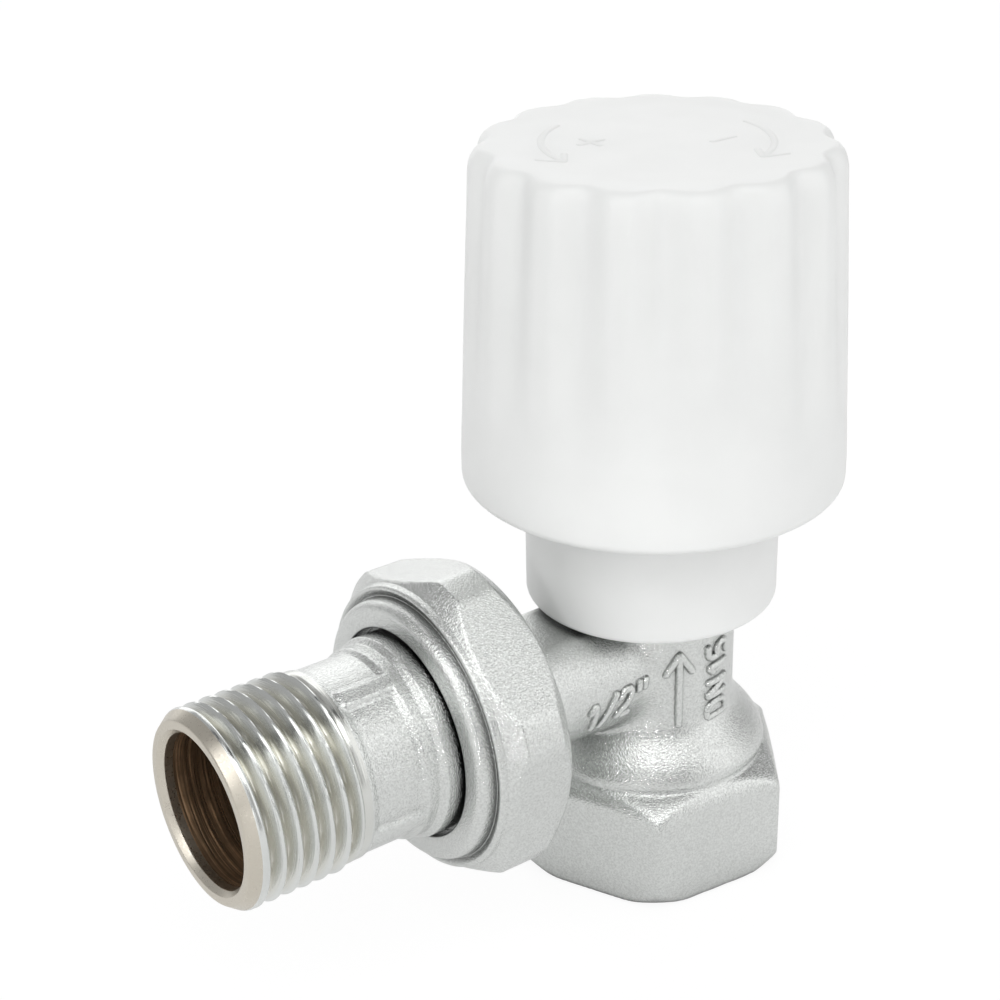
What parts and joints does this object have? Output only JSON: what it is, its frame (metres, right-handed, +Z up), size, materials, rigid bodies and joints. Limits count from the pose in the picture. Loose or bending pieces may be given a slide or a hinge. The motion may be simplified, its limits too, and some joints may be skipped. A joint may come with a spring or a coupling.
{
  "type": "angled radiator valve",
  "caption": "Angled manual radiator valve: nickel-plated body with a female inlet hexagon, fluted white handwheel, and a union nut with a threaded tailpiece.",
  "frame": {"origin": "centre of the inlet's face, where the inlet thread begins", "axes": "+Z up along the stem towards the handwheel, -X along the outlet towards the tailpiece's end"},
  "size_m": [0.0774, 0.0408, 0.0824],
  "materials": {
    "nickel_plate": "satin nickel plate on forged and turned brass",
    "raw_brass": "turned, not plated",
    "white_plastic": "moulded, fine satin",
    "rubber": "smooth black rubber",
    "white_seal": "waxy white packing",
    "spring_steel": "spring steel"
  },
  "bodies": {
    "root": {"valve_body": "nickel_plate", "bonnet": "raw_brass", "bonnet_seal": "rubber", "gland_nut": "raw_brass", "gland_washer": "white_seal", "collar": "white_plastic"},
    "disc": {"disc_holder": "raw_brass", "seat_washer": "rubber", "disc_nut": "raw_brass", "disc_clip": "spring_steel"},
    "stem_and_wheel": {"stem": "raw_brass", "stem_seal_lower": "rubber", "stem_seal_upper": "rubber", "handwheel": "white_plastic", "boss_ring": "spring_steel"},
    "tail": {"tailpiece": "nickel_plate", "tail_seal": "rubber"},
    "nut": {"union_nut": "nickel_plate"}
  },
  "joints": [
    {"name": "disc_lift", "type": "slide", "parent": "root", "child": "disc", "axis": [0, 0, 1], "range_m": [0, 0.00451]},
    {"name": "handwheel_turn", "type": "hinge", "parent": "disc", "child": "stem_and_wheel", "pos_m": [0, 0, 0.05], "axis": [0, 0, 1], "range_deg": [0, 1080]},
    {"name": "tail_withdraw", "type": "slide", "parent": "root", "child": "tail", "axis": [-1, 0, 0], "range_m": [0, 0.00545]},
    {"name": "nut_turn", "type": "hinge", "parent": "tail", "child": "nut", "pos_m": [-0.0285, 0, 0.026], "axis": [-1, 0, 0], "range_deg": [0, 1080]}
  ],
  "couplings": [
    {"joint": "disc_lift", "follows": "handwheel_turn", "m_per_rad": 0.00023873},
    {"joint": "tail_withdraw", "follows": "nut_turn", "m_per_rad": 0.00028871}
  ]
}
